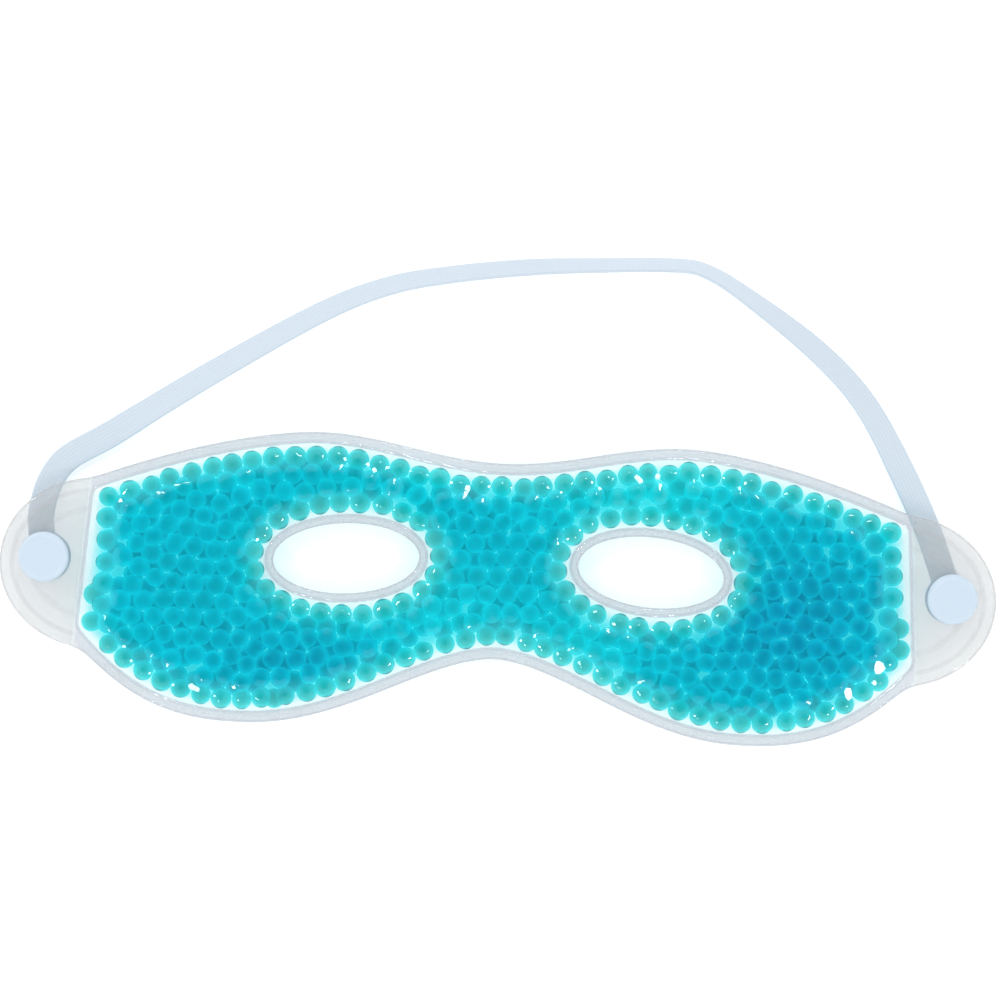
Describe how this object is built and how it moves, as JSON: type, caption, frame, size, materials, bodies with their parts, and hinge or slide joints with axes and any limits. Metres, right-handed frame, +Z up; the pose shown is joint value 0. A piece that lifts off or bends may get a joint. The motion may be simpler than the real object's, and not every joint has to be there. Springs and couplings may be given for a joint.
{
  "type": "gel bead eye mask",
  "caption": "Clear film eye mask filled with gel beads, with two eye holes and an elastic head strap on press studs at its end tabs.",
  "frame": {"origin": "middle of the nose bridge, level with the middle of the eye holes, on the plane that the pouch rests on", "axes": "+X along the mask towards its right end as seen from above, +Y towards the top edge and the strap, +Z up, away from the face side"},
  "size_m": [0.2394, 0.1165, 0.01],
  "materials": {
    "clear_film": "clear soft PVC film, glossy",
    "gel_bead": "wet-looking turquoise gel bead",
    "snap_plastic": "moulded pale blue plastic, satin",
    "elastic": "pale blue-white woven elastic"
  },
  "bodies": {
    "mask": {"front_film": "clear_film", "back_film": "clear_film", "rim_beads": "gel_bead", "lower_beads": "gel_bead", "upper_beads": "gel_bead", "left_cap": "snap_plastic", "right_cap": "snap_plastic", "left_socket": "snap_plastic", "right_socket": "snap_plastic"},
    "strap_ends": {"left_strap_end": "elastic", "right_strap_end": "elastic"},
    "left_snap": {"left_stud": "snap_plastic", "left_back_cap": "snap_plastic"},
    "right_snap": {"right_stud": "snap_plastic", "right_back_cap": "snap_plastic"},
    "strap": {"strap_band": "elastic"}
  },
  "joints": [
    {"name": "snap_release", "type": "slide", "parent": "mask", "child": "strap_ends", "axis": [0, 0, -1], "range_m": [0, 0.004]},
    {"name": "left_snap_turn", "type": "hinge", "parent": "strap_ends", "child": "left_snap", "pos_m": [-0.109, -0.003, 0], "axis": [0, 0, 1], "continuous": true},
    {"name": "right_snap_turn", "type": "hinge", "parent": "strap_ends", "child": "right_snap", "pos_m": [0.109, -0.003, 0], "axis": [0, 0, 1], "continuous": true},
    {"name": "strap_fold", "type": "hinge", "parent": "strap_ends", "child": "strap", "pos_m": [0, 0.0245, 0.0018], "axis": [1, 0, 0], "range_deg": [-110, 90]}
  ]
}
